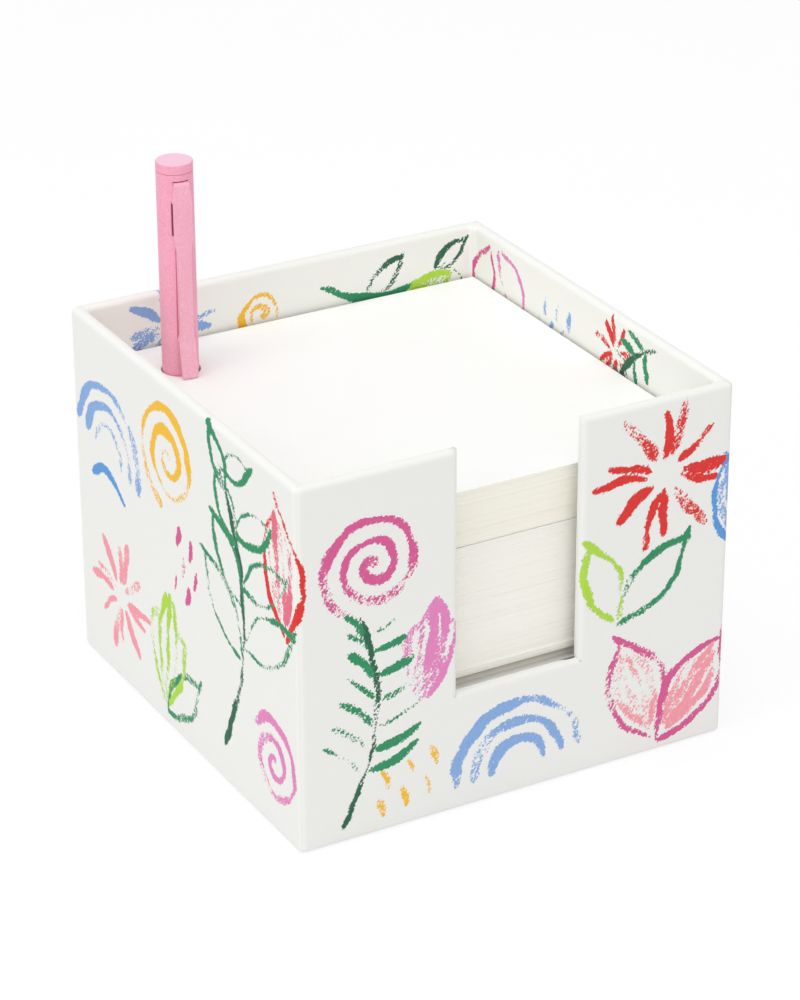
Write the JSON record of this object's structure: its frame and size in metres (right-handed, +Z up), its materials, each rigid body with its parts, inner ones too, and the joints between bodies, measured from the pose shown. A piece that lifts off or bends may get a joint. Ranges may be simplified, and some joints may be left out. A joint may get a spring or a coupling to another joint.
{
  "type": "memo cube",
  "caption": "Open-topped rigid board box wrapped in printed paper, notched at the front, with loose drilled memo sheets and a capped pen standing in their hole.",
  "frame": {"origin": "middle of the box's footprint, on the surface it stands on", "axes": "+Z up; the notched front wall faces -Y; the pen stands near the back left corner, at -X and +Y"},
  "size_m": [0.109, 0.111, 0.1261],
  "materials": {
    "printed_wrap": null,
    "greyboard": "raw grey board",
    "stay_tape": "gummed kraft tape",
    "lining_paper": "matt white paper",
    "base_paper": "matt white paper",
    "sheet_paper": "uncoated white writing paper",
    "pen_coat": "soft matt pink coat",
    "clip_coat": "soft matt pink coat",
    "liner_plastic": "natural moulded plastic",
    "section_plastic": "moulded pink plastic",
    "refill_plastic": "clear extruded tube",
    "tip_brass": "turned",
    "ball_steel": "polished ball"
  },
  "bodies": {
    "box": {"base_board": "greyboard", "front_board": "greyboard", "back_board": "greyboard", "left_board": "greyboard", "right_board": "greyboard", "corner_stay_front_left": "stay_tape", "corner_stay_front_right": "stay_tape", "corner_stay_back_left": "stay_tape", "corner_stay_back_right": "stay_tape", "outer_wrap": "printed_wrap", "wall_lining": "lining_paper", "floor_lining": "lining_paper", "base_sheet": "base_paper"},
    "lower_sheets": {"lower_pack": "sheet_paper", "proud_sheets": "sheet_paper", "set_back_sheets": "sheet_paper"},
    "middle_sheets": {"middle_pack": "sheet_paper"},
    "upper_sheets": {"upper_pack": "sheet_paper"},
    "next_sheet": {"top_sheet": "sheet_paper"},
    "pen": {"barrel": "pen_coat", "barrel_plug": "pen_coat", "grip_section": "section_plastic", "collar_ring": "liner_plastic", "refill_tube": "refill_plastic", "refill_tip": "tip_brass", "refill_ball": "ball_steel"},
    "cap": {"cap_tube": "pen_coat", "cap_crown": "pen_coat", "cap_liner": "liner_plastic"},
    "clip_arm": {"clip": "clip_coat"}
  },
  "joints": [
    {"name": "lower_sheets_lift", "type": "slide", "parent": "box", "child": "lower_sheets", "axis": [0, 0, 1], "range_m": [0, 0.095]},
    {"name": "middle_sheets_lift", "type": "slide", "parent": "lower_sheets", "child": "middle_sheets", "axis": [0, 0, 1], "range_m": [0, 0.065]},
    {"name": "upper_sheets_lift", "type": "slide", "parent": "middle_sheets", "child": "upper_sheets", "axis": [0, 0, 1], "range_m": [0, 0.035]},
    {"name": "next_sheet_lift", "type": "slide", "parent": "upper_sheets", "child": "next_sheet", "axis": [0, 0, 1], "range_m": [0, 0.02]},
    {"name": "pen_lift", "type": "slide", "parent": "next_sheet", "child": "pen", "axis": [0, 0, 1], "range_m": [0, 0.09]},
    {"name": "cap_pull", "type": "slide", "parent": "pen", "child": "cap", "axis": [0, 0, 1], "range_m": [0, 0.045]},
    {"name": "clip_flex", "type": "hinge", "parent": "cap", "child": "clip_arm", "pos_m": [-0.03564, 0.03337, 0.12185], "axis": [-0.9945, 0.1045, 0], "range_deg": [0, 3], "stiffness_Nm_per_rad": 0.02}
  ]
}
